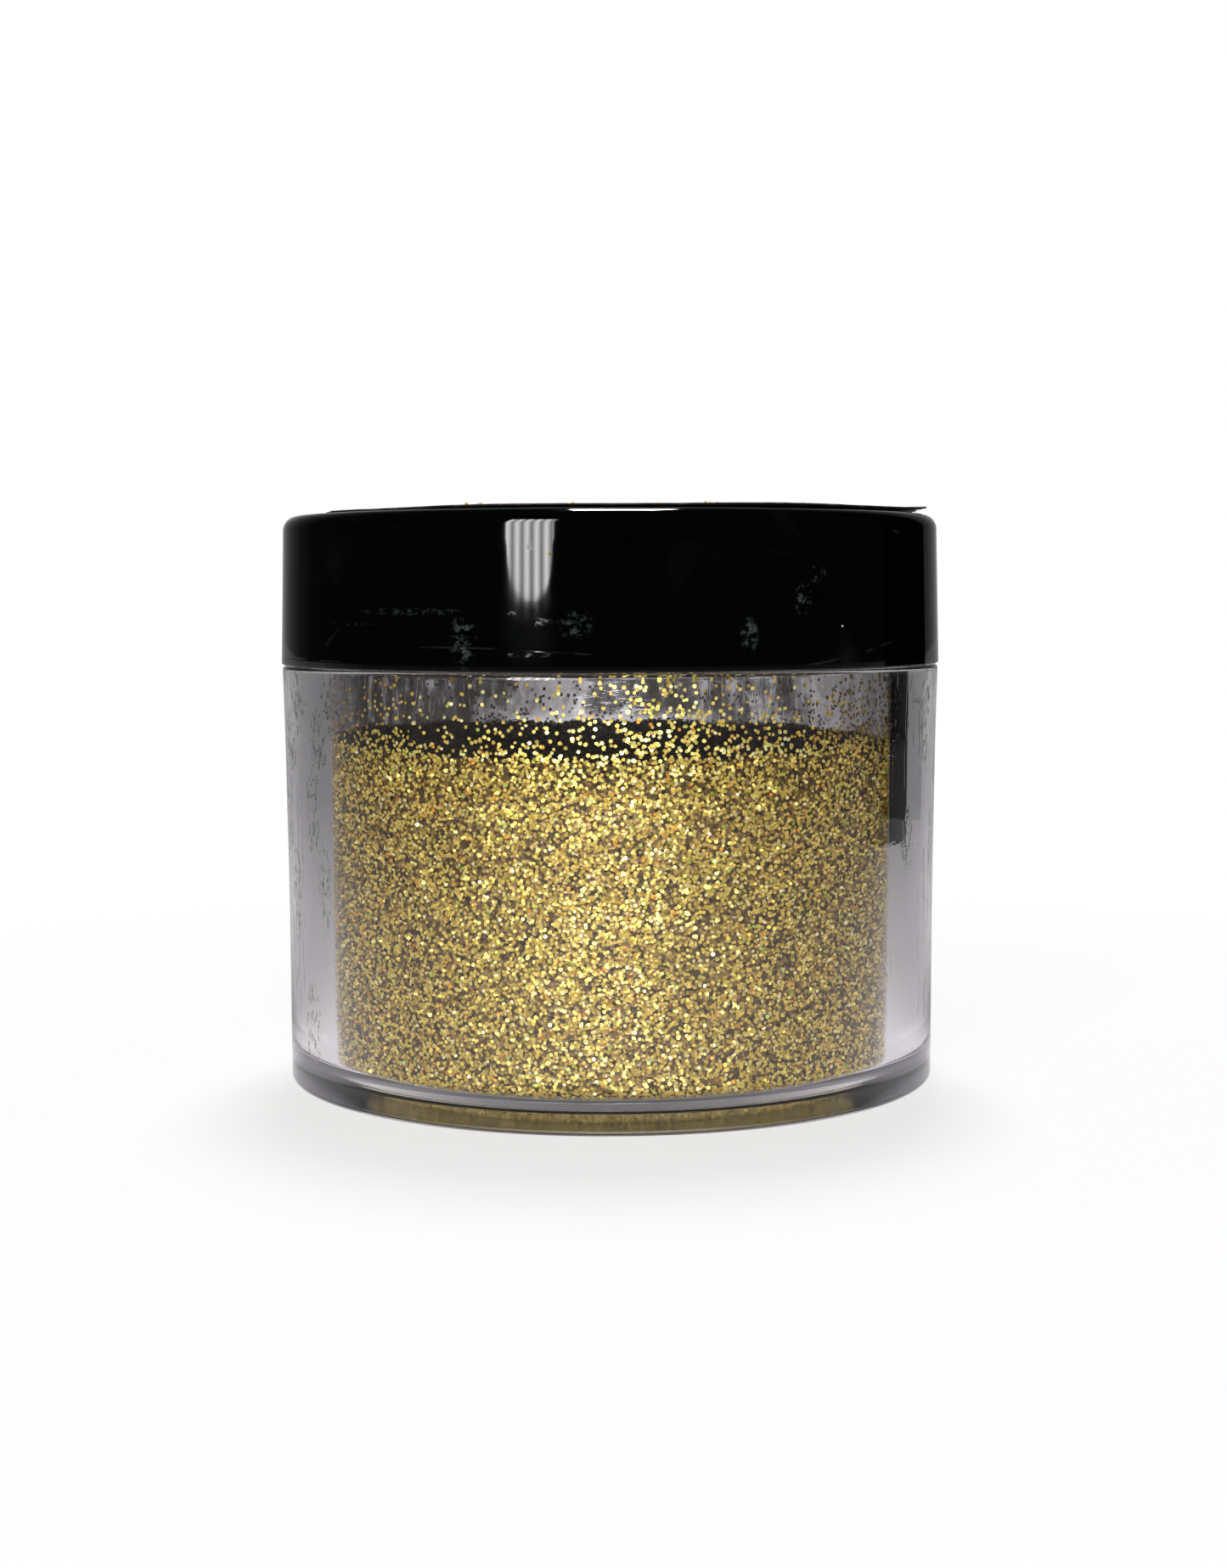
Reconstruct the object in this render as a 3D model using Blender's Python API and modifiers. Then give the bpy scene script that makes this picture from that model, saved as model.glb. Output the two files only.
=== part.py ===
"""Gold sample jar: a thick-walled clear screw-top jar of loose gold flake with a glossy black lid.

Every piece is turned about the Z axis and the jar stands on Z = 0. Metres, +Z up, front towards -Y.
"""

import math

import bmesh
import bpy

MM = 0.001
SEGMENTS = 96  # columns round each turned piece; a multiple of 4 keeps its box square
GAP = 0.3 * MM  # air between pieces that touch

# Screw finish: 70 mm continuous thread, five turns to the inch, right-handed
LEAD = 5.08 * MM
THREAD_TURNS = 1.25
THREAD_FADE = 0.075  # turns over which a thread end sinks into its wall
THREAD_EMBED = 0.45 * MM  # how deep a ridge's root is buried in its wall
NECK_ROOT_R = 33.30 * MM
NECK_CREST_R = 34.50 * MM
NECK_RIDGE_WIDTHS = (2.38 * MM, 1.00 * MM)  # at the root, at the crest
NECK_THREAD_Z = 49.50 * MM  # middle of the ridge where it starts
LID_ROOT_R = 34.95 * MM
LID_CREST_R = 33.70 * MM
LID_RIDGE_WIDTHS = (2.20 * MM, 0.76 * MM)
LID_THREAD_DROP = 1.64 * MM  # with the lid closed its ridge runs this far under the neck's

# Jar
FOOT_ROUND = 0.80 * MM
WALL_PROFILE = (  # height and outer radius: nearly straight, with a little flare to the top
    (2.5 * MM, 35.69 * MM),
    (7.0 * MM, 35.69 * MM),
    (18.0 * MM, 35.71 * MM),
    (29.0 * MM, 35.85 * MM),
    (37.0 * MM, 35.95 * MM),
    (42.0 * MM, 36.06 * MM),
    (45.3 * MM, 36.16 * MM),
)
FOOT_R = WALL_PROFILE[0][1]
SHOULDER_Z = 45.70 * MM
SHOULDER_ROUND = 0.40 * MM
NECK_FILLET = 0.30 * MM
FLOOR_Z = 1.00 * MM
FLOOR_ROUND = 5.30 * MM
FLOOR_RISE = 3.10 * MM
BORE_FLOOR_R = 30.90 * MM
BORE_MOUTH_R = 31.20 * MM
MOUTH_Z = 58.30 * MM
MOUTH_ROUND = 0.40 * MM

# Lid, with heights above its own rim
RIM_Z = SHOULDER_Z + GAP
RIM_R = 36.25 * MM
RIM_CHAMFER = 0.25 * MM
LID_HEIGHT = 15.90 * MM
LID_TOP_R = 35.94 * MM
LID_TOP_ROUND = 1.55 * MM
CEILING_HEIGHT = 13.90 * MM
CEILING_R = 34.60 * MM
CEILING_ROUND = 0.50 * MM
THREAD_WALL_HEIGHT = 11.50 * MM  # the wall thickens above this

# Foam liner, held up against the lid's ceiling
LINER_R = 34.20 * MM
LINER_BEVEL = 0.20 * MM

# Gold flake
FILL_TOP_Z = 37.40 * MM
FILL_BANK = 0.35 * MM  # the settled surface stands this much higher by the wall

# Label on the lid
LABEL_R = 33.40 * MM
LABEL_THICK = 0.25 * MM
LABEL_GLUE = 0.12 * MM
LABEL_POINTS = 144
LABEL_WAVES = (  # how ragged its cut is: size, waves round the edge, phase
    (0.22 * MM, 3, 0.6),
    (0.12 * MM, 11, 0.0),
    (0.09 * MM, 29, 1.1),
    (0.06 * MM, 47, 2.0),
)
LABEL_CORNER_REACH = 2.10 * MM
LABEL_CORNER_AT = -14.0  # degrees from +X
LABEL_CORNER_WIDTH = 9.0


def clear_scene():
    for obj in list(bpy.data.objects):
        bpy.data.objects.remove(obj, do_unlink=True)


def collection(name):
    group = bpy.data.collections.new(name)
    bpy.context.scene.collection.children.link(group)
    return group


def material(name, colour, roughness, metallic=0.0, transmission=0.0):
    mat = bpy.data.materials.new(name)
    mat.use_nodes = True
    shader = mat.node_tree.nodes["Principled BSDF"]
    shader.inputs["Base Color"].default_value = (*colour, 1.0)
    shader.inputs["Roughness"].default_value = roughness
    shader.inputs["Metallic"].default_value = metallic
    shader.inputs["Transmission Weight"].default_value = transmission
    mat.diffuse_color = (*colour, 1.0)
    return mat


def arc(centre_r, centre_z, radius, start, end, steps, rise=None):
    """Points of a round corner in a profile, from start to end in degrees.

    With a rise the corner is part of an ellipse: radius is its half width and rise its half height.
    """
    turns = [math.radians(start + (end - start) * i / steps) for i in range(steps + 1)]
    tall = rise or radius
    return [(centre_r + radius * math.cos(a), centre_z + tall * math.sin(a)) for a in turns]


def place(obj, group, mat=None, parent=None, z=0.0):
    group.objects.link(obj)
    obj.location.z = z
    obj.parent = parent
    if mat:
        obj.data.materials.append(mat)
    return obj


def turned(name, profile):
    """A profile of (radius, height) points turned about Z. It runs out from the axis and down its outer side."""
    mesh = bpy.data.meshes.new(name)
    edges = [(i, i + 1) for i in range(len(profile) - 1)]
    mesh.from_pydata([(r, 0.0, z) for r, z in profile], edges, [])
    obj = bpy.data.objects.new(name, mesh)
    screw = obj.modifiers.new("turn", "SCREW")
    screw.axis = "Z"
    screw.angle = 2 * math.pi
    screw.steps = screw.render_steps = SEGMENTS
    screw.use_merge_vertices = True
    screw.merge_threshold = 0.01 * MM
    screw.use_smooth_shade = True
    return obj


def ridge(name, start_z, root_r, crest_r, widths, group):
    """A helical thread ridge, lofted from four-sided sections. Its root lies inside its wall, and so does its crest at each end."""
    inwards = -1 if crest_r > root_r else 1
    buried_r = root_r + inwards * THREAD_EMBED
    root, crest = widths
    slope = (root - crest) / 2 / abs(crest_r - root_r)
    count = round(SEGMENTS * THREAD_TURNS)
    shape = bmesh.new()
    sections = []
    for i in range(count + 1):
        turns = THREAD_TURNS * i / count
        along = min(1.0, turns / THREAD_FADE, (THREAD_TURNS - turns) / THREAD_FADE)
        sunk_r = root_r + inwards * THREAD_EMBED * 0.7
        r = sunk_r + (crest_r - sunk_r) * along * (2 - along)
        half_crest = crest / 2 + slope * abs(crest_r - r)
        half_root = root / 2 + slope * THREAD_EMBED
        z = start_z + LEAD * turns
        a = 2 * math.pi * turns
        corners = ((buried_r, -half_root), (r, -half_crest), (r, half_crest), (buried_r, half_root))
        sections.append([shape.verts.new((q * math.cos(a), q * math.sin(a), z + h)) for q, h in corners])
    for near, far in zip(sections, sections[1:]):
        for k in range(4):
            shape.faces.new((near[k], near[k - 1], far[k - 1], far[k]))
    shape.faces.new(sections[0])
    shape.faces.new(reversed(sections[-1]))
    bmesh.ops.recalc_face_normals(shape, faces=shape.faces)
    mesh = bpy.data.meshes.new(name)
    shape.to_mesh(mesh)
    shape.free()
    obj = place(bpy.data.objects.new(name, mesh), group)
    obj.hide_render = True
    obj.display_type = "WIRE"
    return obj


def join(obj, other):
    boolean = obj.modifiers.new("thread", "BOOLEAN")
    boolean.operation = "UNION"
    boolean.solver = "EXACT"
    boolean.object = other


def jar_profile():
    land_z = MOUTH_Z - MOUTH_ROUND
    points = [(0.0, FLOOR_Z)]
    points += arc(BORE_FLOOR_R - FLOOR_ROUND, FLOOR_Z + FLOOR_RISE, FLOOR_ROUND, -90, 0, 10, FLOOR_RISE)
    points += arc(BORE_MOUTH_R + MOUTH_ROUND, land_z, MOUTH_ROUND, 180, 90, 3)
    points += arc(NECK_ROOT_R - MOUTH_ROUND, land_z, MOUTH_ROUND, 90, 0, 3)
    points += [(NECK_ROOT_R, SHOULDER_Z + NECK_FILLET), (NECK_ROOT_R + NECK_FILLET, SHOULDER_Z)]
    shoulder_r = WALL_PROFILE[-1][1] - SHOULDER_ROUND
    points += arc(shoulder_r, SHOULDER_Z - SHOULDER_ROUND, SHOULDER_ROUND, 90, 20, 3)
    points += [(r, z) for z, r in reversed(WALL_PROFILE)]
    points += arc(FOOT_R - FOOT_ROUND, FOOT_ROUND, FOOT_ROUND, 0, -90, 5)
    points += [(0.0, 0.0)]
    return points


def lid_profile():
    points = [(0.0, LID_HEIGHT)]
    points += arc(LID_TOP_R - LID_TOP_ROUND, LID_HEIGHT - LID_TOP_ROUND, LID_TOP_ROUND, 90, 0, 7)
    points += [(RIM_R, RIM_CHAMFER), (RIM_R - RIM_CHAMFER, 0.0)]
    points += [(LID_ROOT_R + RIM_CHAMFER, 0.0), (LID_ROOT_R, RIM_CHAMFER)]
    points += [(LID_ROOT_R, THREAD_WALL_HEIGHT), (CEILING_R, THREAD_WALL_HEIGHT + RIM_CHAMFER)]
    points += arc(CEILING_R - CEILING_ROUND, CEILING_HEIGHT - CEILING_ROUND, CEILING_ROUND, 0, 90, 3)
    points += [(0.0, CEILING_HEIGHT)]
    return points


def fill_profile():
    def wall_r(z):
        share = (z - FLOOR_Z) / (MOUTH_Z - FLOOR_Z)
        return BORE_FLOOR_R + (BORE_MOUTH_R - BORE_FLOOR_R) * share - GAP

    base = FLOOR_Z + GAP
    bank_r = wall_r(FILL_TOP_Z)
    points = [(0.0, FILL_TOP_Z), (bank_r / 3, FILL_TOP_Z - FILL_BANK / 4)]
    points += [(bank_r * 0.75, FILL_TOP_Z + FILL_BANK / 3), (bank_r - 0.6 * MM, FILL_TOP_Z + FILL_BANK)]
    points += [(bank_r, FILL_TOP_Z - 0.2 * MM)]
    points += arc(wall_r(base) - FLOOR_ROUND, base + FLOOR_RISE, FLOOR_ROUND, 0, -90, 8, FLOOR_RISE)
    points += [(0.0, base)]
    return points


def liner_disc():
    """A flat foam disc from the neck's land to the lid's ceiling, less a gap on each side."""
    thick = RIM_Z + CEILING_HEIGHT - MOUTH_Z - 2 * GAP
    shape = bmesh.new()
    bmesh.ops.create_cone(
        shape, cap_ends=True, segments=SEGMENTS, radius1=LINER_R, radius2=LINER_R, depth=thick
    )
    mesh = bpy.data.meshes.new("lid_liner")
    shape.to_mesh(mesh)
    shape.free()
    obj = bpy.data.objects.new("lid_liner", mesh)
    bevel = obj.modifiers.new("edges", "BEVEL")
    bevel.width = LINER_BEVEL
    bevel.segments = 2
    bevel.limit_method = "ANGLE"
    bevel.angle_limit = math.radians(60)
    return obj, MOUTH_Z + GAP + thick / 2


def label_radius(degrees):
    """The label's cut edge: nearly round, a little ragged, with one pointed corner."""
    a = math.radians(degrees)
    r = LABEL_R + sum(size * math.sin(waves * a + phase) for size, waves, phase in LABEL_WAVES)
    away = abs((degrees - LABEL_CORNER_AT + 180) % 360 - 180)
    return r + LABEL_CORNER_REACH * max(0.0, 1 - away / LABEL_CORNER_WIDTH)


def label_sheet():
    curve = bpy.data.curves.new("top_label", "CURVE")
    curve.dimensions = "2D"
    curve.fill_mode = "BOTH"
    curve.extrude = LABEL_THICK / 2
    edge = curve.splines.new("POLY")
    edge.points.add(LABEL_POINTS - 1)
    for i, point in enumerate(edge.points):
        degrees = 360.0 * i / LABEL_POINTS
        r, a = label_radius(degrees), math.radians(degrees)
        point.co = (r * math.cos(a), r * math.sin(a), 0.0, 1.0)
    edge.use_cyclic_u = True
    return bpy.data.objects.new("top_label", curve)


def build():
    clear_scene()
    pieces = collection("gold_sample_jar")
    helpers = collection("thread_ridges")
    lid_axis = bpy.data.objects.new("lid_axis", None)
    place(lid_axis, pieces, z=RIM_Z)

    clear = material("clear_plastic", (0.93, 0.94, 0.96), 0.03, transmission=1.0)
    jar = place(turned("jar_body", jar_profile()), pieces, clear)
    join(
        jar,
        ridge("neck_ridge", NECK_THREAD_Z, NECK_ROOT_R, NECK_CREST_R, NECK_RIDGE_WIDTHS, helpers),
    )

    flake = material("gold_flake", (0.62, 0.47, 0.16), 0.35, metallic=0.9)
    place(turned("gold_fill", fill_profile()), pieces, flake)

    black = material("lid_black", (0.010, 0.010, 0.011), 0.12)
    lid = place(turned("lid_shell", lid_profile()), pieces, black, lid_axis)
    lid_thread_z = NECK_THREAD_Z - LID_THREAD_DROP
    join(lid, ridge("lid_ridge", lid_thread_z, LID_ROOT_R, LID_CREST_R, LID_RIDGE_WIDTHS, helpers))

    foam = material("liner_foam", (0.90, 0.90, 0.88), 0.85)
    liner, liner_z = liner_disc()
    place(liner, pieces, foam, lid_axis, liner_z - RIM_Z)

    film = material("label_film", (0.030, 0.020, 0.026), 0.40)
    place(label_sheet(), pieces, film, lid_axis, LID_HEIGHT + LABEL_GLUE + LABEL_THICK / 2)


build()
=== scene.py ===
"""Looks for the gold sample jar: a clear thick-walled jar of gold glitter, with a black screw lid.

Metres, +Z up, the photographed side faces -Y. Sizes are written in millimetres times MM.
"""

import math

import bpy
import numpy as np
from mathutils import Matrix, Vector


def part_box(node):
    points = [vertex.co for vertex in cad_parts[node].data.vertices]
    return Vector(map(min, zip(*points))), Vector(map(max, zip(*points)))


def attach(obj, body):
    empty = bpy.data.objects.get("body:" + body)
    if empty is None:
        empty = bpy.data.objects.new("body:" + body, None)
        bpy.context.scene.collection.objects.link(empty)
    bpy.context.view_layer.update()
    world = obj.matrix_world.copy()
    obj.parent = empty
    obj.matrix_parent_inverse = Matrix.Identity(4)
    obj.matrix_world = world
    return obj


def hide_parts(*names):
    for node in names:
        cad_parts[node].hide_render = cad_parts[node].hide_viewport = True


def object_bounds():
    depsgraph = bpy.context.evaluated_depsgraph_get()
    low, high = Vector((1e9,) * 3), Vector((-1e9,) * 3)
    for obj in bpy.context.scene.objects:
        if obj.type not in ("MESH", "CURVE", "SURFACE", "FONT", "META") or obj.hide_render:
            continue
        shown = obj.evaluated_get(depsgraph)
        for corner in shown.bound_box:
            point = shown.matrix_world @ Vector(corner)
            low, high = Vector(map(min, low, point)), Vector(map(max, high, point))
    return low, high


MM = 0.001
FRONT = -90.0  # degrees from +X of the side that faces the camera

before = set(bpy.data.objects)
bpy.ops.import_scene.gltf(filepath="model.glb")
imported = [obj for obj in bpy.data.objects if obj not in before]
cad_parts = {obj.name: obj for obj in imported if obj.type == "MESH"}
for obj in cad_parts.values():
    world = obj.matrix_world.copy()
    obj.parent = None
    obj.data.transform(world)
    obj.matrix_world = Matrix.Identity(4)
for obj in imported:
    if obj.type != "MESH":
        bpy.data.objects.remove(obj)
CAD_LOW, CAD_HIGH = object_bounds()
LID_LOW, LID_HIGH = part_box("lid_shell")
JAR_LOW, JAR_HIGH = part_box("jar_body")
LINER_LOW, LINER_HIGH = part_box("lid_liner")
LABEL_LOW, LABEL_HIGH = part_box("top_label")

# Turned pieces
COLUMNS = 288
LEAD = 5.08 * MM
THREAD_TURNS = 1.25
THREAD_FADE = 0.075
THREAD_WRAPS = (-1, 0, 1, 2)
NECK_ROOT_R = 33.30 * MM
NECK_CREST_R = 34.50 * MM
NECK_RIDGE_WIDTHS = (2.38 * MM, 1.00 * MM)
NECK_THREAD_Z = 49.50 * MM
LID_ROOT_R = 34.95 * MM
LID_CREST_R = 33.70 * MM
LID_RIDGE_WIDTHS = (2.20 * MM, 0.76 * MM)
LID_THREAD_Z = NECK_THREAD_Z - 1.64 * MM

# Jar
BASE_Z = JAR_LOW.z
MOUTH_Z = JAR_HIGH.z
FOOT_ROUND = 0.80 * MM
WALL_PROFILE = (  # height, radius
    (3.0 * MM, 35.69 * MM),
    (7.0 * MM, 35.69 * MM),
    (12.0 * MM, 35.695 * MM),
    (18.0 * MM, 35.71 * MM),
    (24.0 * MM, 35.77 * MM),
    (29.0 * MM, 35.85 * MM),
    (37.0 * MM, 35.95 * MM),
    (42.0 * MM, 36.06 * MM),
    (45.0 * MM, 36.15 * MM),
)
SHOULDER_Z = 45.70 * MM
SHOULDER_ROUND = 0.40 * MM
NECK_FILLET = 0.30 * MM
FLOOR_Z = 1.00 * MM
FLOOR_ROUND = 5.30 * MM  # the inner corner is an ellipse: this wide
FLOOR_RISE = 3.10 * MM  # and this tall
BORE_FLOOR_R = 30.90 * MM
BORE_MOUTH_R = 31.20 * MM
MOUTH_ROUND = 0.40 * MM
FOOT_R = WALL_PROFILE[0][1]
WALL_MIDDLE_R = WALL_PROFILE[4][1]
FOOT_RING_R = 30.50 * MM  # outside this the foot is frosted
FLAT_STEP = 1.00 * MM  # from a rounded edge in to the first ring of a flat face
FLAT_RING_R = 10 * MM  # another ring nearer the middle
BORE_RINGS = (50 * MM, 40 * MM, 30 * MM, 20 * MM, 12 * MM, FLOOR_Z + FLOOR_RISE + 0.5 * MM)

# Lid
RIM_Z = LID_LOW.z
LID_TOP_Z = LID_HIGH.z
RIM_R = LID_HIGH.x
RIM_ROUND = 0.15 * MM
RIM_DROP = 0.16 * MM  # the real seam is tighter than the gap that the CAD keeps
LID_TOP_R = 35.94 * MM
LID_TOP_ROUND = 1.55 * MM
CEILING_Z = RIM_Z + 13.90 * MM
CEILING_R = 34.60 * MM
CEILING_ROUND = 0.50 * MM
THREAD_WALL_Z = RIM_Z + 11.50 * MM
LEDGE_Z = THREAD_WALL_Z + 0.35 * MM  # the wall steps in from here, above the thread
LEDGE_TOP_Z = THREAD_WALL_Z + 0.60 * MM
LID_FLAT_R = 15 * MM
LID_SIDE_SHARES = (0.15, 0.5, 0.85, 0.96)  # rings down the tapered side

# Glitter
SEED = 70400
FLAKE_R = 0.19 * MM
FLAKE_SIDES = 6
WALL_BANK = 0.35 * MM  # how much higher the fill stands all round the wall
FILL_TOP_Z = 37.40 * MM  # in the middle: the top in the frame less WALL_BANK
FILL_LEAN = 0.75 * MM  # higher at the back than at the front
AIR_GAP = 0.10 * MM
WALL_FLAKES_OVER = 1.20 * MM  # the wall layer starts this far above the fill's top
LEFT_BANK = 1.00 * MM  # how much higher again at the left wall
CORE_INSET = 0.60 * MM
CORE_DROP = 0.15 * MM
CORE_RINGS = (30 * MM, 20 * MM, 12 * MM, 6 * MM)
FLOOR_LAYER = 0.35 * MM  # room for flakes between the core and the floor
WALL_LAYER = 0.40 * MM
WALL_LAYER_GAP = 0.10 * MM
LEVEL_LAYER = 0.25 * MM
SECTORS = 4  # the wall layer is one mesh for each, which keeps the meshes moderate
SECTOR_FLAKES = 17000
SURFACE_FLAKES = 19000
BASE_FLAKES = 17000
BASE_CONTRAST = 2.6
MEAN_TONE = 0.60
TONE_SPREAD = 0.20


def bore_radius(z):
    share = (z - FLOOR_Z) / (MOUTH_Z - FLOOR_Z)
    return BORE_FLOOR_R + (BORE_MOUTH_R - BORE_FLOOR_R) * share


# ---- mesh tools


def new_object(name, data):
    obj = bpy.data.objects.new(name, data)
    bpy.context.scene.collection.objects.link(obj)
    return obj


def finish_piece(obj, body, mat, replaced=()):
    obj.data.materials.append(mat)
    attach(obj, body)
    if replaced:
        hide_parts(*replaced)
    return obj


def polygon_object(name, points, faces, smooth=True):
    mesh = bpy.data.meshes.new(name)
    mesh.from_pydata([tuple(p) for p in points], [], [tuple(f) for f in faces])
    mesh.polygons.foreach_set("use_smooth", [smooth] * len(mesh.polygons))
    mesh.update()
    return new_object(name, mesh)


def ring_faces(first, count, columns):
    """Quads between closed rings of points: count rings, the first starting at index first."""
    faces = []
    for ring in range(count - 1):
        near = first + ring * columns
        far = near + columns
        for k in range(columns):
            following = (k + 1) % columns
            faces.append((near + k, far + k, far + following, near + following))
    return faces


def arc(centre_r, centre_z, radius, start, end, steps, rise=None):
    """Points on a circular arc, or on an elliptical one if rise gives its height."""
    turns = np.radians(np.linspace(start, end, steps + 1))
    tall = rise or radius
    return [(centre_r + radius * math.cos(a), centre_z + tall * math.sin(a)) for a in turns]


def thread_rows(low, high, start_z, root_r, crest_r, widths, angles):
    """Rows of (radius, height) per column for a wall that carries a helical ridge."""
    turn = (angles - angles[0]) / (2 * math.pi)
    base, crest = widths
    section = ((-base / 2, 0.0), (-crest / 2, 1.0), (crest / 2, 1.0), (base / 2, 0.0))
    rows = []
    for wrap in THREAD_WRAPS:
        along = wrap + turn
        fade = np.clip(np.minimum(along, THREAD_TURNS - along) / THREAD_FADE, 0.0, 1.0)
        for offset, standing in section:
            z = np.clip(start_z + LEAD * along + offset, low, high)
            rows.append((root_r + (crest_r - root_r) * standing * fade, z))
    return rows


def turned(name, before, threads, after, closed=False):
    """A profile turned about Z: plain (r, z) points, then thread rows, then plain points again."""
    angles = np.linspace(0.0, 2 * math.pi, COLUMNS + 1)
    ones = np.ones(COLUMNS + 1)
    rows = [(r * ones, z * ones) for r, z in before]
    rows += threads(angles) if threads else []
    rows += [(r * ones, z * ones) for r, z in after]
    radius = np.array([r for r, _ in rows])
    height = np.array([z for _, z in rows])
    place = angles.copy()
    place[-1] = angles[0]
    points = np.stack([radius * np.cos(place), radius * np.sin(place), height], axis=-1)
    flat = np.round(points.reshape(-1, 3), 8)
    unique, index = np.unique(flat, axis=0, return_inverse=True)
    index = index.reshape(points.shape[:2])
    if closed:
        index = np.vstack([index, index[:1]])
    a, b, c, d = index[:-1, :-1], index[:-1, 1:], index[1:, 1:], index[1:, :-1]
    quads = np.stack([a, b, c, d], axis=-1).reshape(-1, 4)
    faces = []
    for quad in quads.tolist():
        face = [v for i, v in enumerate(quad) if v != quad[i - 1]]
        if len(set(face)) >= 3:
            faces.append(face)
    return polygon_object(name, unique, faces)


def flake_object(name, centres, normals, radii, tone, tint, spin):
    """Many small flat hexagons in one mesh, each with its own tone and tint."""
    normals = normals / np.linalg.norm(normals, axis=1, keepdims=True)
    helper = np.where(np.abs(normals[:, 2:3]) < 0.9, [[0.0, 0.0, 1.0]], [[1.0, 0.0, 0.0]])
    first = np.cross(normals, helper)
    first /= np.linalg.norm(first, axis=1, keepdims=True)
    second = np.cross(normals, first)
    step = np.arange(FLAKE_SIDES) * 2 * math.pi / FLAKE_SIDES
    angle = spin[:, None] + step[None, :]
    corners = (
        centres[:, None, :]
        + radii[:, None, None] * np.cos(angle)[:, :, None] * first[:, None, :]
        + radii[:, None, None] * np.sin(angle)[:, :, None] * second[:, None, :]
    )
    count = len(centres)
    total = count * FLAKE_SIDES
    mesh = bpy.data.meshes.new(name)
    mesh.vertices.add(total)
    mesh.vertices.foreach_set("co", corners.astype(np.float32).ravel())
    mesh.loops.add(total)
    mesh.loops.foreach_set("vertex_index", np.arange(total, dtype=np.int32))
    mesh.polygons.add(count)
    mesh.polygons.foreach_set("loop_start", np.arange(0, total, FLAKE_SIDES, dtype=np.int32))
    mesh.update(calc_edges=True)
    mesh.polygons.foreach_set("use_smooth", [False] * count)
    for title, values in (("tone", tone), ("tint", tint)):
        layer = mesh.attributes.new(title, "FLOAT", "POINT")
        layer.data.foreach_set("value", np.repeat(values, FLAKE_SIDES).astype(np.float32))
    mesh.validate()
    return new_object(name, mesh)


# ---- node tools


class Nodes:
    """Short names for building a node tree."""

    def __init__(self, tree):
        self.tree = tree
        self.tree.nodes.clear()

    def add(self, kind, inputs=None, **settings):
        node = self.tree.nodes.new(kind)
        for key, value in settings.items():
            setattr(node, key, value)
        for key, value in (inputs or {}).items():
            socket = node.inputs[key]
            if isinstance(value, bpy.types.NodeSocket):
                self.tree.links.new(value, socket)
            else:
                socket.default_value = value
        return node

    def math(self, operation, a, b=0.0, clamp=False, third=0.5):
        values = {0: a, 1: b, 2: third}
        return self.add("ShaderNodeMath", values, operation=operation, use_clamp=clamp).outputs[0]

    def ramp(self, factor, stops, interpolation="LINEAR"):
        node = self.add("ShaderNodeValToRGB", {0: factor})
        node.color_ramp.interpolation = interpolation
        elements = node.color_ramp.elements
        while len(elements) < len(stops):
            elements.new(0.5)
        for element, (position, colour) in zip(elements, stops):
            element.position = position
            rgb = colour if isinstance(colour, tuple) else (colour,) * 3
            element.color = (*rgb, 1.0)
        return node.outputs[0]

    def mapped(self, vector, stretch, shift):
        inputs = {"Vector": vector, "Scale": stretch, "Location": (shift, shift, shift)}
        return self.add("ShaderNodeMapping", inputs).outputs[0]

    def noise(self, vector, scale, detail=2.0, roughness=0.5, stretch=(1, 1, 1), shift=0.0):
        inputs = {"Vector": self.mapped(vector, stretch, shift), "Scale": scale}
        inputs.update({"Detail": detail, "Roughness": roughness})
        return self.add("ShaderNodeTexNoise", inputs).outputs["Fac"]

    def axis(self, vector, index):
        return self.add("ShaderNodeSeparateXYZ", {0: vector}).outputs[index]

    def vector(self, operation, a, b):
        return self.add("ShaderNodeVectorMath", {0: a, 1: b}, operation=operation).outputs[0]

    def length(self, vector):
        return self.add("ShaderNodeVectorMath", {0: vector}, operation="LENGTH").outputs["Value"]

    def mix(self, factor, a, b, blend="MIX"):
        node = self.add("ShaderNodeMix", data_type="RGBA", blend_type=blend)
        for socket, value in zip((node.inputs[0], node.inputs[6], node.inputs[7]), (factor, a, b)):
            if isinstance(value, bpy.types.NodeSocket):
                self.tree.links.new(value, socket)
            else:
                socket.default_value = value if not isinstance(value, tuple) else (*value, 1.0)
        return node.outputs[2]

    def bump(self, height, strength, distance):
        inputs = {"Height": height, "Strength": strength, "Distance": distance}
        return self.add("ShaderNodeBump", inputs).outputs[0]

    def position(self):
        return self.add("ShaderNodeTexCoord").outputs["Object"]

    def principled(self, **inputs):
        named = {key.replace("_", " "): value for key, value in inputs.items()}
        return self.add("ShaderNodeBsdfPrincipled", named).outputs[0]

    def mix_shader(self, factor, a, b):
        return self.add("ShaderNodeMixShader", {0: factor, 1: a, 2: b}).outputs[0]

    def ray(self, kind):
        return self.add("ShaderNodeLightPath").outputs[f"Is {kind} Ray"]

    def output(self, shader):
        self.add("ShaderNodeOutputMaterial", {"Surface": shader})


def new_material(name):
    mat = bpy.data.materials.new(name)
    mat.use_nodes = True
    return mat, Nodes(mat.node_tree)


# ---- materials


def scratch_lines(n, where, scale, stretch, width, shift):
    """Thin long lines: the borders of a stretched cell pattern."""
    inputs = {"Vector": n.mapped(where, stretch, shift), "Scale": scale}
    cells = n.add("ShaderNodeTexVoronoi", inputs, feature="DISTANCE_TO_EDGE").outputs["Distance"]
    return n.ramp(cells, ((0.0, 1.0), (width, 0.0)))


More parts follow.
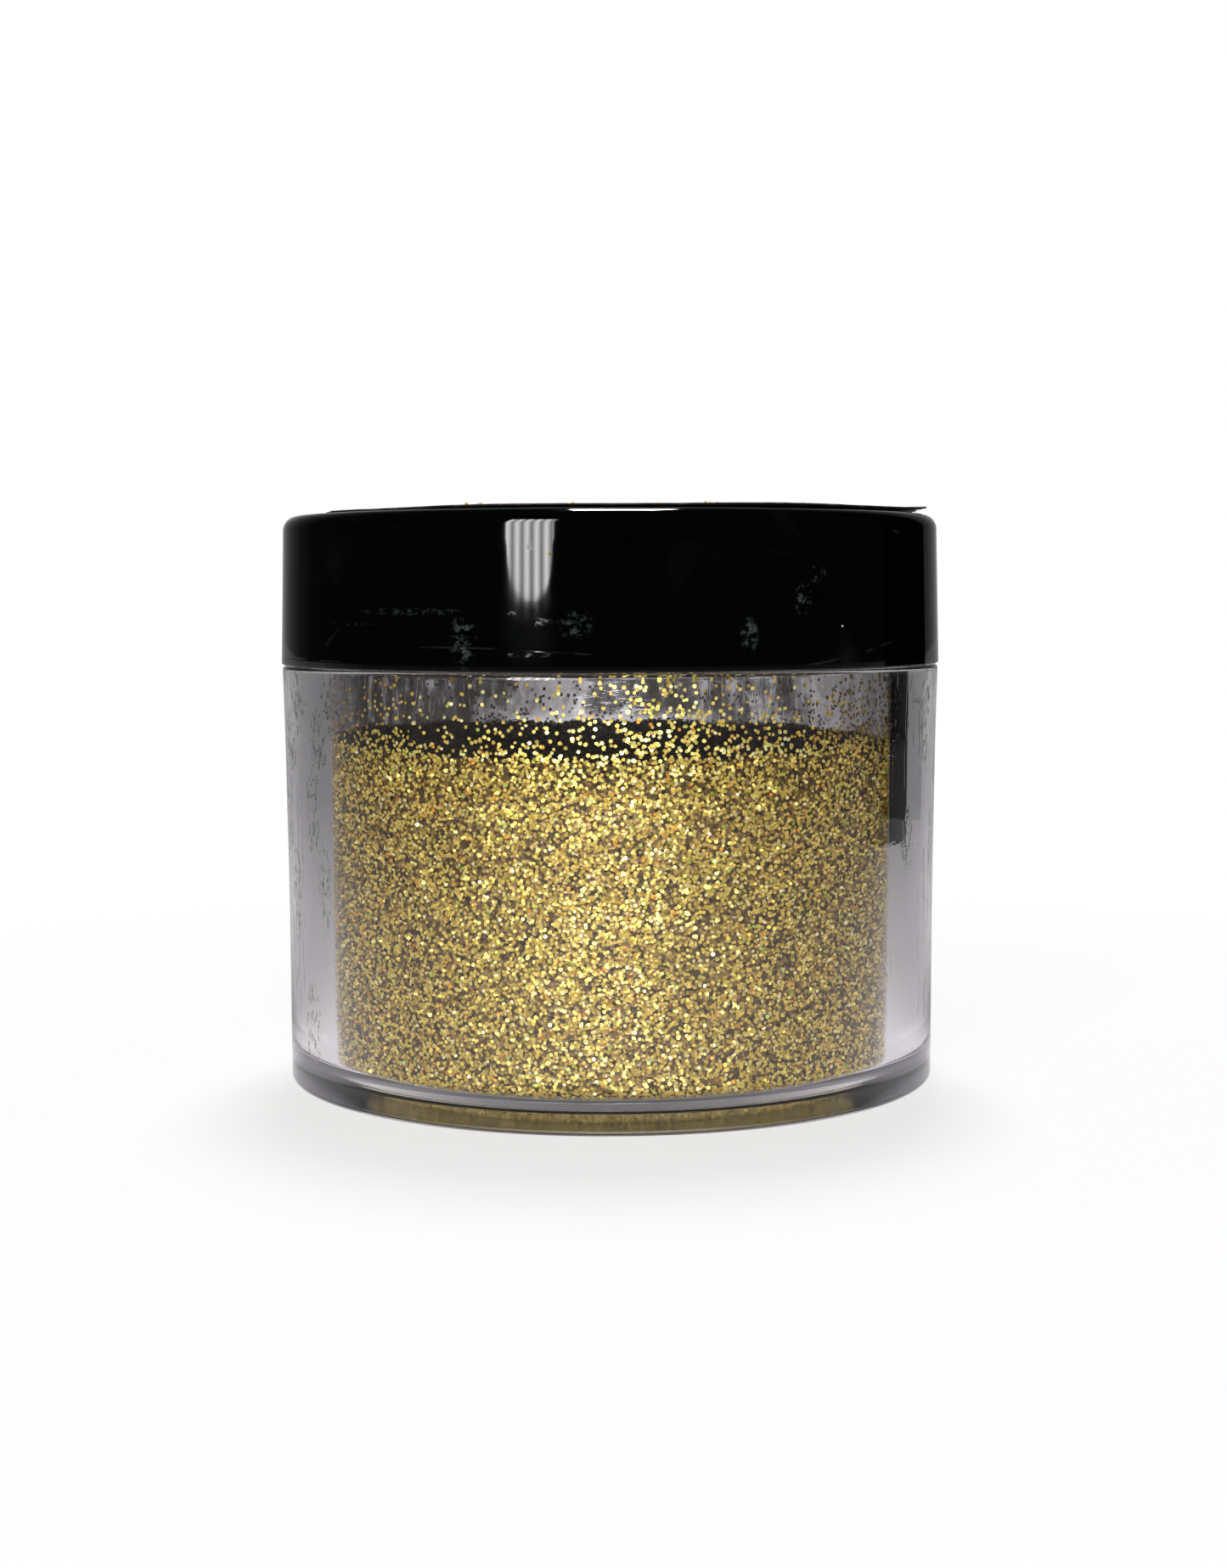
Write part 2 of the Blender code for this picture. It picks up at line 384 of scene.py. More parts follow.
# A spot: degrees right of the front, height, half width and half height in mm, and strength
WEAR_SPOTS = (
    (-72.0, 37.5, 2.0, 3.6, 1.0),
    (-67.0, 42.0, 2.0, 3.0, 0.9),
    (-75.0, 30.0, 1.8, 4.5, 0.8),
    (-70.0, 22.0, 1.5, 5.0, 0.6),
    (-62.0, 8.0, 2.0, 4.0, 0.5),
    (68.0, 40.5, 1.6, 4.5, 0.9),
    (75.0, 27.0, 1.6, 3.0, 0.7),
    (150.0, 25.0, 6.0, 9.0, 0.3),
    (-130.0, 12.0, 6.0, 6.0, 0.3),
)


def spots_mask(n, where, spots, radius):
    """Soft ovals on a round wall: 0 away from them, and each one's own strength in its middle."""
    total = 0.0
    for degrees, height, half_width, half_height, strength in spots:
        a = math.radians(degrees + FRONT)
        middle = Vector((radius * math.cos(a), radius * math.sin(a), height * MM))
        sizes = (half_width * MM, half_width * MM, half_height * MM)
        away = n.length(n.vector("DIVIDE", n.vector("SUBTRACT", where, middle), sizes))
        spot = n.ramp(n.math("MULTIPLY", away, 0.5), ((0.25, strength), (0.62, 0.0)))
        total = n.math("MAXIMUM", spot, total)
    return total


def wall_wear(n, where):
    """Short scuffs and nicks on the outside of the clear wall."""
    grain = n.noise(where, 1900.0, 3.0, 0.6, stretch=(1, 1, 0.45), shift=17.0)
    nicks = n.ramp(grain, ((0.55, 0.0), (0.63, 1.0)))
    return n.math("MULTIPLY", spots_mask(n, where, WEAR_SPOTS, WALL_MIDDLE_R), nicks)


def frosted_foot(n, where):
    """The foot's roughness, and how milky it is: in its outer ring and towards both sides."""
    base = n.math("LESS_THAN", n.axis(where, 2), BASE_Z + 0.03 * MM)
    out = n.length(n.vector("MULTIPLY", where, (1.0, 1.0, 0.0)))
    ring = n.math("GREATER_THAN", out, FOOT_RING_R)
    rough = n.math("MULTIPLY", base, n.math("MULTIPLY_ADD", ring, 0.20, third=0.10))
    across = n.math("DIVIDE", n.math("ABSOLUTE", n.axis(where, 0)), FOOT_R)
    side = n.ramp(across, ((0.66, 0.0), (0.76, 0.75)))
    milky = n.math("MULTIPLY", base, n.math("MAXIMUM", n.math("MULTIPLY", ring, 0.6), side))
    return rough, milky


def clear_plastic():
    """Thick clear wall: it refracts what the camera sees, and lets light through to the fill."""
    mat, n = new_material("clear_plastic_worn")
    where = n.position()
    ripples = n.noise(where, 900.0, 3.0, stretch=(0.5, 0.5, 1.6))
    lines = scratch_lines(n, where, 60.0, (9.0, 9.0, 1.0), 0.03, 3.1)
    patches = n.noise(where, 120.0, 3.0, shift=5.0)
    scuffed = n.math("MULTIPLY", lines, n.ramp(patches, ((0.52, 0.0), (0.62, 1.0))))
    wear = wall_wear(n, where)
    height = n.math("ADD", n.math("MULTIPLY", ripples, 0.25), n.math("MULTIPLY", scuffed, -0.6))
    height = n.math("ADD", height, n.math("MULTIPLY", wear, -16.0))
    foot_rough, milky = frosted_foot(n, where)
    rubbed = n.ramp(patches, ((0.3, 0.0), (0.8, 0.035)))
    rough = n.math("MAXIMUM", rubbed, n.math("MULTIPLY", wear, 0.15))
    glass = n.principled(
        Base_Color=n.mix(patches, (0.955, 0.95, 0.965), (0.985, 0.985, 0.99)),
        Roughness=n.math("MAXIMUM", rough, foot_rough),
        IOR=1.50,
        Transmission_Weight=1.0,
        Normal=n.bump(height, 0.25, 0.02 * MM),
    )
    haze = n.add("ShaderNodeBsdfTranslucent", {"Color": (0.185, 0.18, 0.195, 1.0)}).outputs[0]
    seen = n.mix_shader(milky, glass, haze)
    clear = n.add("ShaderNodeBsdfTransparent", {"Color": (0.90, 0.90, 0.91, 1.0)}).outputs[0]
    passing = n.math("MAXIMUM", n.ray("Shadow"), n.ray("Diffuse"))
    n.output(n.mix_shader(passing, seen, clear))
    return mat


FLAKE_RAMP = (
    (0.00, (0.140, 0.085, 0.022)),
    (0.25, (0.460, 0.310, 0.075)),
    (0.55, (0.800, 0.585, 0.112)),
    (0.80, (0.960, 0.755, 0.185)),
    (1.00, (1.000, 0.930, 0.480)),
)
ODD_TINTS = ((0.0, (1.0, 0.50, 0.24)), (0.022, (1.0, 1.0, 1.0)), (0.975, (0.60, 1.0, 0.75)))
WORN_GOLD = (0.36, 0.23, 0.05)
# Colours of the packed glitter, far darker than the flakes' own: painted shade between the flakes.
PACKED_RAMP = ((0.0, (0.030, 0.017, 0.006)), (0.6, (0.16, 0.10, 0.03)), (1.0, (0.42, 0.28, 0.09)))


def gold_flake(name, metallic, shade):
    """Glitter: each flake has its own tone, brown to gold to pale, and shade darkens them all:
    below 1 it is painted shade.
    """
    mat, n = new_material(name)
    tone = n.add("ShaderNodeAttribute", attribute_name="tone").outputs["Fac"]
    tint = n.add("ShaderNodeAttribute", attribute_name="tint").outputs["Fac"]
    gold = n.mix(1.0, n.ramp(tone, FLAKE_RAMP), (shade, shade, shade), "MULTIPLY")
    wear = n.noise(n.position(), 5200.0, 2.0)
    colour = n.mix(1.0, gold, n.ramp(tint, ODD_TINTS, "CONSTANT"), "MULTIPLY")
    # The worn spots' colour takes the painted shade as well.
    worn_and_shade = tuple(shade * part for part in WORN_GOLD)
    shader = n.principled(
        Base_Color=n.mix(n.math("MULTIPLY", wear, 0.2), colour, worn_and_shade),
        Metallic=metallic,
        Specular_IOR_Level=0.2,
        Roughness=n.ramp(wear, ((0.3, 0.24), (0.8, 0.42))),
        Normal=n.bump(wear, 0.3, 0.02 * MM),
    )
    n.output(shader)
    return mat


def packed_glitter():
    """The mass behind the outer flakes: the same glitter in shade."""
    mat, n = new_material("gold_flake_packed")
    cells = n.add("ShaderNodeTexVoronoi", {"Vector": n.position(), "Scale": 2600.0})
    tone = n.add("ShaderNodeSeparateColor", {0: cells.outputs["Color"]}).outputs[0]
    shader = n.principled(
        Base_Color=n.ramp(tone, PACKED_RAMP),
        Metallic=0.5,
        Roughness=n.ramp(tone, ((0.0, 0.6), (1.0, 0.35))),
        Normal=n.bump(cells.outputs["Distance"], 0.8, 0.1 * MM),
    )
    n.output(shader)
    return mat


LID_MARKS = (  # spots on the lid's side
    (-23.5, 48.9, 1.3, 2.6, 0.75),
    (-5.3, 50.5, 1.6, 1.3, 0.60),
    (-15.5, 51.4, 0.7, 0.4, 1.00),
    (-11.0, 50.8, 1.2, 0.35, 1.00),
    (-13.0, 47.6, 2.6, 0.25, 0.90),
    (22.2, 49.4, 0.9, 1.6, 0.90),
    (32.0, 53.0, 1.0, 1.6, 0.80),
    (34.9, 55.4, 1.0, 0.8, 0.70),
    (-33.0, 51.8, 6.0, 0.35, 0.45),
    (-12.5, 58.2, 0.5, 0.5, 0.80),
    (55.2, 60.0, 0.7, 0.4, 1.00),
    (-46.0, 50.5, 3.5, 0.20, 0.35),
    (150.0, 52.5, 2.4, 1.2, 0.60),
    (-140.0, 50.0, 1.2, 2.2, 0.60),
    (100.0, 56.0, 3.0, 0.3, 0.70),
)
HAIR_FROM_Z = 40 * MM
HAIR_SPAN = 20 * MM


def lid_marks(n, where):
    """Where the lid's side is rubbed or greasy: soft spots broken up by noise."""
    grain = n.noise(where, 1300.0, 4.0, 0.65, stretch=(1, 1, 1.4), shift=12.0)
    grime = n.ramp(grain, ((0.50, 0.0), (0.66, 1.0)))
    total = spots_mask(n, where, LID_MARKS, RIM_R)
    return n.math("MULTIPLY", n.math("MULTIPLY", total, grime), 0.55)


def lid_hairs(n, where):
    """Hair scratches in patches on the lid, strongest low on its side."""
    patches = n.noise(where, 260.0, 3.0, shift=9.0)
    hair = scratch_lines(n, where, 34.0, (1.0, 1.0, 3.5), 0.012, 1.7)
    hair = n.math("MULTIPLY", hair, n.ramp(patches, ((0.50, 0.0), (0.62, 1.0))))
    level = n.math("MULTIPLY_ADD", n.axis(where, 2), 1 / HAIR_SPAN, third=-HAIR_FROM_Z / HAIR_SPAN)
    return n.math("MULTIPLY", hair, n.ramp(level, ((0.35, 1.0), (0.75, 0.12))))


def black_gloss():
    mat, n = new_material("lid_black_gloss")
    where = n.position()
    smudges = n.noise(where, 95.0, 4.0, 0.6, shift=2.0)
    hair = lid_hairs(n, where)
    grain = n.noise(where, 1500.0, 2.0)
    height = n.math("ADD", n.math("MULTIPLY", hair, -1.0), n.math("MULTIPLY", grain, 0.06))
    wiped = lid_marks(n, where)
    greasy = n.ramp(smudges, ((0.58, 0.0), (0.80, 1.0)))
    colour = n.mix(greasy, (0.0004, 0.0006, 0.0006), (0.0030, 0.0030, 0.0032))
    colour = n.mix(n.math("MULTIPLY", hair, 0.3), colour, (0.030, 0.032, 0.032))
    rough = n.ramp(smudges, ((0.35, 0.030), (0.62, 0.06), (0.80, 0.16)))
    shader = n.principled(
        Base_Color=n.mix(wiped, colour, (0.085, 0.095, 0.095)),
        Roughness=n.mix(wiped, rough, (0.45, 0.45, 0.45)),
        IOR=1.50,
        Normal=n.bump(height, 0.35, 0.01 * MM),
    )
    n.output(shader)
    return mat


def liner_foam():
    mat, n = new_material("liner_foam_cells")
    where = n.position()
    inputs = {"Vector": where, "Scale": 3200.0}
    cells = n.add("ShaderNodeTexVoronoi", inputs, feature="SMOOTH_F1").outputs["Distance"]
    stain = n.noise(where, 110.0, 4.0)
    stained = n.ramp(stain, ((0.45, 0.0), (0.75, 1.0)))
    shader = n.principled(
        Base_Color=n.mix(stained, (0.80, 0.79, 0.76), (0.62, 0.56, 0.44)),
        Roughness=n.ramp(stain, ((0.3, 0.70), (0.8, 0.90))),
        Normal=n.bump(cells, 0.5, 0.15 * MM),
    )
    n.output(shader)
    return mat


def label_film():
    mat, n = new_material("label_film_satin")
    where = n.position()
    wrinkles = n.noise(where, 140.0, 4.0, 0.6)
    rub = n.noise(where, 700.0, 3.0, shift=4.0)
    rubbed = n.ramp(rub, ((0.45, 0.0), (0.75, 1.0)))
    shader = n.principled(
        Base_Color=n.mix(rubbed, (0.022, 0.014, 0.018), (0.070, 0.052, 0.058)),
        Roughness=n.ramp(rub, ((0.3, 0.32), (0.8, 0.55))),
        Normal=n.bump(wrinkles, 0.5, 0.25 * MM),
    )
    n.output(shader)
    return mat


DUST_ACROSS = (  # place from left to right over DUST_SPAN, and how thick the haze is there
    (0.10, 0.95),
    (0.27, 0.95),
    (0.34, 0.40),
    (0.42, 0.22),
    (0.48, 0.70),
    (0.58, 0.88),
    (0.72, 0.85),
    (0.79, 0.92),
    (0.87, 0.45),
    (0.93, 0.25),
    (1.00, 0.45),
)
DUST_SPAN = 62.5 * MM
DUST_FADE = 2.6 * MM  # in the middle it thins out below this height above the fill
DUST_MIDDLE = 20 * MM


def dust_cover(n, where, smears):
    """Streaks, clouds and smears of dust, from thin to nearly opaque."""
    streaks = n.noise(where, 420.0, 4.0, 0.6, stretch=(1.0, 1.0, 0.22))
    clouds = n.noise(where, 150.0, 4.0, 0.6, shift=6.0)
    cover = n.math("ADD", n.math("MULTIPLY", streaks, 0.55), n.math("MULTIPLY", clouds, 0.40))
    cover = n.math("ADD", cover, n.math("MULTIPLY", smears, 0.28))
    return streaks, n.ramp(cover, ((0.50, 0.24), (0.585, 0.70), (0.68, 0.97)))


def dust_window(n, where):
    """Where the haze lies: mostly at the back, by DUST_ACROSS, and thinner low in the middle."""
    across = n.math("MULTIPLY_ADD", n.axis(where, 0), 1 / DUST_SPAN)
    warp = n.noise(where, 210.0, 3.0, 0.6, shift=21.0)
    across = n.math("ADD", across, n.math("MULTIPLY_ADD", warp, 0.36, third=-0.18))
    depth = n.math("MULTIPLY_ADD", n.axis(where, 1), 1 / DUST_SPAN)
    back = n.ramp(depth, ((0.36, 0.03), (0.62, 1.0)))
    over_fill = n.math("SUBTRACT", n.axis(where, 2), FILL_TOP_Z)
    fade = n.ramp(n.math("DIVIDE", over_fill, DUST_FADE), ((0.4, 0.0), (1.0, 1.0)))
    aside = n.math("DIVIDE", n.math("ABSOLUTE", n.axis(where, 0)), DUST_MIDDLE)
    fade = n.math("MAXIMUM", fade, n.ramp(aside, ((0.45, 0.0), (0.75, 1.0))))
    return n.ramp(across, DUST_ACROSS), back, fade


def dust_haze():
    """Fine gold dust held on the inside of the headspace wall, streaked downwards."""
    mat, n = new_material("headspace_dust")
    where = n.position()
    smears = n.noise(where, 1300.0, 3.0, 0.6, stretch=(1.0, 1.0, 0.7), shift=31.0)
    streaks, cover = dust_cover(n, where, smears)
    window, back, fade = dust_window(n, where)
    cover = n.math("MULTIPLY", n.math("MULTIPLY", cover, back), window)
    dust = n.principled(
        Base_Color=n.mix(smears, (0.07, 0.06, 0.05), (0.34, 0.31, 0.27)),
        Roughness=n.ramp(streaks, ((0.3, 0.5), (0.8, 0.8))),
        Normal=n.bump(streaks, 0.4, 0.05 * MM),
    )
    clear = n.add("ShaderNodeBsdfTransparent").outputs[0]
    n.output(n.mix_shader(n.math("MULTIPLY", cover, fade), clear, dust))
    return mat


# ---- the jar and its fill


def jar_outside():
    """From the middle of the foot out, up the wall and over the shoulder to the neck."""
    shoulder_r = WALL_PROFILE[-1][1] - SHOULDER_ROUND
    outline = [(0.0, BASE_Z), (FLAT_RING_R, BASE_Z), (FOOT_R - FOOT_ROUND - FLAT_STEP, BASE_Z)]
    outline += arc(FOOT_R - FOOT_ROUND, BASE_Z + FOOT_ROUND, FOOT_ROUND, -90, 0, 16)
    outline += [(r, z) for z, r in WALL_PROFILE]
    outline += arc(shoulder_r, SHOULDER_Z - SHOULDER_ROUND, SHOULDER_ROUND, 8, 90, 6)
    outline += [(NECK_ROOT_R + NECK_FILLET * 1.4, SHOULDER_Z)]
    outline += arc(NECK_ROOT_R + NECK_FILLET, SHOULDER_Z + NECK_FILLET, NECK_FILLET, 270, 180, 4)
    return outline


def jar_inside():
    """From the neck over the mouth, down the bore and round its corner to the floor's middle."""
    land_z = MOUTH_Z - MOUTH_ROUND
    corner = (BORE_FLOOR_R - FLOOR_ROUND, FLOOR_Z + FLOOR_RISE)
    outline = arc(NECK_ROOT_R - MOUTH_ROUND, land_z, MOUTH_ROUND, 0, 90, 5)
    outline += arc(BORE_MOUTH_R + MOUTH_ROUND, land_z, MOUTH_ROUND, 90, 180, 5)
    outline += [(bore_radius(z), z) for z in BORE_RINGS]
    outline += arc(*corner, FLOOR_ROUND, 0, -90, 20, FLOOR_RISE)
    outline += [(corner[0] - FLAT_STEP, FLOOR_Z), (FLAT_RING_R, FLOOR_Z), (0.0, FLOOR_Z)]
    return outline


def make_jar(mat):
    low, high = SHOULDER_Z + NECK_FILLET, MOUTH_Z - MOUTH_ROUND

    def threads(angles):
        return thread_rows(
            low, high, NECK_THREAD_Z, NECK_ROOT_R, NECK_CREST_R, NECK_RIDGE_WIDTHS, angles
        )

    jar = turned("jar_glass", jar_outside(), threads, jar_inside())
    return finish_piece(jar, "jar", mat, ["jar_body"])


def fill_height(x, y):
    """The settled top of the glitter: low humps, a lean, and banks at the wall and on the left."""
    r = np.hypot(x, y) / BORE_FLOOR_R
    left = np.clip(-x / BORE_FLOOR_R, 0.0, 1.0)
    humps = (
        0.22 * np.sin(260 * x + 1.0) * np.sin(310 * y + 0.4)
        + 0.13 * np.sin(610 * x - 2.0 + 180 * y)
        + 0.10 * np.sin(840 * y + 220 * x)
    )
    lean = FILL_LEAN * y / BORE_FLOOR_R
    return FILL_TOP_Z + MM * humps + WALL_BANK * r**4 + LEFT_BANK * left**4 + lean


def make_core(mat):
    """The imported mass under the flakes: a settled top, and sides that follow the bore."""
    rings, columns = 40, 144
    edge_r = bore_radius(FILL_TOP_Z) - CORE_INSET
    points = [(0.0, 0.0, float(fill_height(0.0, 0.0)) - CORE_DROP)]
    angles = np.linspace(0, 2 * math.pi, columns, endpoint=False)
    for i in range(1, rings + 1):
        r = edge_r * i / rings
        x, y = r * np.cos(angles), r * np.sin(angles)
        points += list(zip(x, y, fill_height(x, y) - CORE_DROP))
    base_z = FLOOR_Z + AIR_GAP + FLOOR_LAYER
    sides = [(bore_radius(z) - CORE_INSET, z) for z in CORE_RINGS]
    corner = bore_radius(base_z) - CORE_INSET - FLOOR_ROUND
    sides += arc(corner, base_z + FLOOR_RISE, FLOOR_ROUND, 0, -90, 12, FLOOR_RISE)
    for r, z in sides:
        points += [(r * math.cos(a), r * math.sin(a), z) for a in angles]
    count = rings + len(sides)
    last = 1 + (count - 1) * columns
    faces = [(0, 1 + k, 1 + (k + 1) % columns) for k in range(columns)]
    faces += ring_faces(1, count, columns)
    faces.append(tuple(last + k for k in reversed(range(columns))))
    core = polygon_object("gold_core", points, faces)
    return finish_piece(core, "jar", mat, ["gold_fill"])


def tilted(rng, normals, spread):
    return normals + rng.normal(0.0, spread, normals.shape)


def flake_looks(rng, count):
    tone = np.clip(rng.normal(MEAN_TONE, TONE_SPREAD, count), 0.0, 1.0)
    return tone, rng.random(count), rng.random(count) * 2 * math.pi


CORNER_LENGTH = 0.5 * math.pi * math.sqrt((FLOOR_ROUND**2 + FLOOR_RISE**2) / 2)
STRAIGHT_LENGTH = FILL_TOP_Z + WALL_FLAKES_OVER - FLOOR_Z - FLOOR_RISE


def bore_point(along):
    """Radius, height and the two parts of the outward direction (level, down) on the bore.

    along runs down from above the fill's top and then round the bottom corner.
    """
    turn = np.clip((along - STRAIGHT_LENGTH) / CORNER_LENGTH, 0.0, 1.0) * math.pi / 2
    wall_z = FILL_TOP_Z + WALL_FLAKES_OVER - along
    z = np.where(along < STRAIGHT_LENGTH, wall_z, FLOOR_Z + FLOOR_RISE * (1 - np.sin(turn)))
    r = bore_radius(z) - FLOOR_ROUND * (1 - np.cos(turn))
    level, down = FLOOR_RISE * np.cos(turn), FLOOR_ROUND * np.sin(turn)
    size = np.hypot(level, down)
    return r, z, level / size, down / size


def make_wall_flakes(rng, mat):
    """The layer against the bore wall and its rounded corner, in sectors."""
    for sector in range(SECTORS):
        a = (sector + rng.random(SECTOR_FLAKES)) * 2 * math.pi / SECTORS
        along = (STRAIGHT_LENGTH + CORNER_LENGTH) * rng.random(SECTOR_FLAKES)
        r, z, level, down = bore_point(along)
        depth = AIR_GAP + WALL_LAYER_GAP + WALL_LAYER * rng.random(SECTOR_FLAKES) ** 1.3
        r = r - depth * level
        z = z + depth * down
        centres = np.stack([r * np.cos(a), r * np.sin(a), z], axis=1)
        outward = np.stack([np.cos(a) * level, np.sin(a) * level, -down], axis=1)
        kept = z < fill_height(centres[:, 0], centres[:, 1]) + CORE_DROP
        centres, outward = centres[kept], outward[kept]
        count = len(centres)
        tone, tint, spin = flake_looks(rng, count)
        radii = FLAKE_R * rng.uniform(0.85, 1.12, count)
        normals = tilted(rng, outward, 0.24)
        name = f"wall_flakes_{sector}"
        flakes = flake_object(name, centres, normals, radii, tone, tint, spin)
        finish_piece(flakes, "jar", mat)


def disc_places(rng, count, radius):
    r = radius * np.sqrt(rng.random(count))
    a = rng.random(count) * 2 * math.pi
    return r * np.cos(a), r * np.sin(a)


CONTACT_R = 18.0 * MM
CONTACT_DEPTH = 0.30 * MM
SURFACE_INSET = 0.35 * MM
SURFACE_SINK = 0.10 * MM


def make_level_flakes(rng, mat, name, places, facing, spread, contrast=1.0):
    """A level layer of flakes that face up (1) or down (-1). contrast widens their tones."""
    x, y, z = places
    count = len(x)
    centres = np.stack([x, y, z + LEVEL_LAYER * rng.random(count)], axis=1)
    normals = np.tile([[0.0, 0.0, facing]], (count, 1))
    tone, tint, spin = flake_looks(rng, count)
    if contrast > 1:
        tone = np.clip(0.5 + (tone - MEAN_TONE) * contrast, 0.0, 1.0)
    radii = FLAKE_R * rng.uniform(0.85, 1.12, count)
    normals = tilted(rng, normals, spread)
    flakes = flake_object(name, centres, normals, radii, tone, tint, spin)
    return finish_piece(flakes, "jar", mat)


def make_surface_flakes(rng, mat):
    x, y = disc_places(rng, SURFACE_FLAKES, bore_radius(FILL_TOP_Z) - SURFACE_INSET)
    places = (x, y, fill_height(x, y) - SURFACE_SINK)
    return make_level_flakes(rng, mat, "surface_flakes", places, 1.0, 0.30)


def make_base_flakes(rng, mat):
    """Flakes on the floor. In its middle they are set into the plastic, so the foot shows them."""
    x, y = disc_places(rng, BASE_FLAKES, BORE_FLOOR_R - FLOOR_ROUND)
    lifted = np.hypot(x, y) > CONTACT_R
    places = (x, y, np.where(lifted, FLOOR_Z + AIR_GAP, FLOOR_Z - CONTACT_DEPTH))
    return make_level_flakes(rng, mat, "base_flakes", places, -1.0, 0.05, BASE_CONTRAST)


CLINGING_TRIES = 36000
CLINGING_TOP_Z = MOUTH_Z - 1 * MM
CLINGING_GAP = 0.03 * MM
CLINGING_LOW = 0.28  # share that sticks just above the fill
CLINGING_FALL = 2.1 * MM
CLINGING_ALL = 0.03  # and the share that sticks anywhere
CLINGING_PATCHES = (  # degrees right of the front, spread in degrees, how thick, fall-off height
    (10.0, 8.0, 0.50, 9.0 * MM),
    (-5.0, 7.0, 0.25, 3.0 * MM),
    (52.0, 19.0, 1.15, 1.3 * MM),
    (22.0, 12.0, 0.30, 3.0 * MM),
    (64.0, 17.0, 0.55, 14.0 * MM),
    (-68.0, 13.0, 0.62, 13.0 * MM),
    (-58.0, 14.0, 0.42, 1.5 * MM),
    (-40.0, 9.0, 0.18, 3.0 * MM),
    (-22.0, 9.0, 0.12, 4.0 * MM),
    (130.0, 16.0, 0.12, 9.0 * MM),
    (205.0, 20.0, 0.10, 9.0 * MM),
)


def clinging_share(degrees, rise):
    """How likely a flake is to stick at this place on the bore wall above the fill."""
    wobble = 1 + 0.5 * np.sin(np.radians(7 * degrees)) + 0.4 * np.sin(np.radians(17 * degrees + 40))
    front = 0.35 + 0.65 * (np.abs(degrees) < 95)
    fall = CLINGING_FALL * (0.6 + 0.5 * wobble)
    share = CLINGING_LOW * np.exp(-rise / fall) * front + CLINGING_ALL
    for middle, spread, thick, height in CLINGING_PATCHES:
        away = (degrees - middle + 180) % 360 - 180
        share = share + thick * np.exp(-((away / spread) ** 2)) * np.exp(-rise / height)
    return share


def shaded_sides(degrees, rise):
    """How much darker a clinging flake looks at the sides, where it stands against the light."""
    side = np.clip((np.abs(degrees + 4) - 38) / 14, 0.0, 1.0)
    return side * np.clip(rise / (2 * MM), 0.0, 1.0)


def make_clinging_flakes(rng, mat):
    """Loose flakes held by static on the bore wall above the fill."""
    degrees = rng.random(CLINGING_TRIES) * 360 - 180
    rise = (CLINGING_TOP_Z - FILL_TOP_Z) * rng.random(CLINGING_TRIES)
    kept = rng.random(CLINGING_TRIES) < clinging_share(degrees, rise)
    degrees, rise = degrees[kept], rise[kept]
    a = np.radians(degrees + FRONT)
    count = len(a)
    z = fill_height(BORE_FLOOR_R * np.cos(a), BORE_FLOOR_R * np.sin(a)) + rise
    z = np.minimum(z, CLINGING_TOP_Z)
    r = bore_radius(z) - AIR_GAP - CLINGING_GAP
    centres = np.stack([r * np.cos(a), r * np.sin(a), z], axis=1)
    outward = np.stack([np.cos(a), np.sin(a), np.zeros(count)], axis=1)
    tone, tint, spin = flake_looks(rng, count)
    tone = np.clip(tone + 0.08 - 0.72 * shaded_sides(degrees, rise), 0.0, 1.0)
    radii = FLAKE_R * rng.uniform(0.85, 1.18, count)
    normals = tilted(rng, outward, 0.12)
    flakes = flake_object("clinging_flakes", centres, normals, radii, tone, tint, spin)
    return finish_piece(flakes, "jar", mat)


DUST_START = 0.5 * MM  # below the fill's top
DUST_STOP = 2 * MM  # below the mouth
DUST_INSET = 0.45 * MM
DUST_THICK = 0.03 * MM


def make_dust(mat):
    """A thin tube just inside the bore wall, which carries the dust's material."""
    heights = np.linspace(FILL_TOP_Z - DUST_START, MOUTH_Z - DUST_STOP, 6)
    outer = [(bore_radius(z) - DUST_INSET, z) for z in heights]
    inner = [(r - DUST_THICK, z) for r, z in reversed(outer)]
    dust = turned("dust_film", outer, None, inner, closed=True)
    return finish_piece(dust, "jar", mat)


# ---- the lid and what is on it


def lid_outside(rim_z):
    """From the middle of the top out, over the rounded edge, down the taper and round the rim."""
    top_z = LID_TOP_Z - LID_TOP_ROUND
    round_r = LID_TOP_R - LID_TOP_ROUND
    outline = [(0.0, LID_TOP_Z), (LID_FLAT_R, LID_TOP_Z), (round_r - FLAT_STEP, LID_TOP_Z)]
    outline += arc(round_r, top_z, LID_TOP_ROUND, 90, 1, 16)
    for share in LID_SIDE_SHARES:
        z = top_z + (rim_z + RIM_ROUND - top_z) * share
        outline.append((LID_TOP_R + (RIM_R - LID_TOP_R) * share, z))
    outline += arc(RIM_R - RIM_ROUND, rim_z + RIM_ROUND, RIM_ROUND, 1, -90, 6)
    outline += arc(LID_ROOT_R + RIM_ROUND, rim_z + RIM_ROUND, RIM_ROUND, 270, 180, 6)
    return outline


def lid_inside():
    """From the top of the thread's wall to the middle of the ceiling."""
    corner_r = CEILING_R - CEILING_ROUND
    outline = [(LID_ROOT_R, THREAD_WALL_Z), (CEILING_R, LEDGE_Z), (CEILING_R, LEDGE_TOP_Z)]
    outline += arc(corner_r, CEILING_Z - CEILING_ROUND, CEILING_ROUND, 0, 90, 5)
    outline += [(corner_r - FLAT_STEP, CEILING_Z), (0.0, CEILING_Z)]
    return outline


def make_lid(mat):
    rim_z = RIM_Z - RIM_DROP
    low, high = rim_z + RIM_ROUND, THREAD_WALL_Z

    def threads(angles):
        return thread_rows(
            low, high, LID_THREAD_Z, LID_ROOT_R, LID_CREST_R, LID_RIDGE_WIDTHS, angles
        )

    lid = turned("lid_cap", lid_outside(rim_z), threads, lid_inside())
    lid.data.flip_normals()
    return finish_piece(lid, "lid", mat, ["lid_shell"])


LINER_PRESS = 0.12 * MM
LINER_ROUND = 0.20 * MM


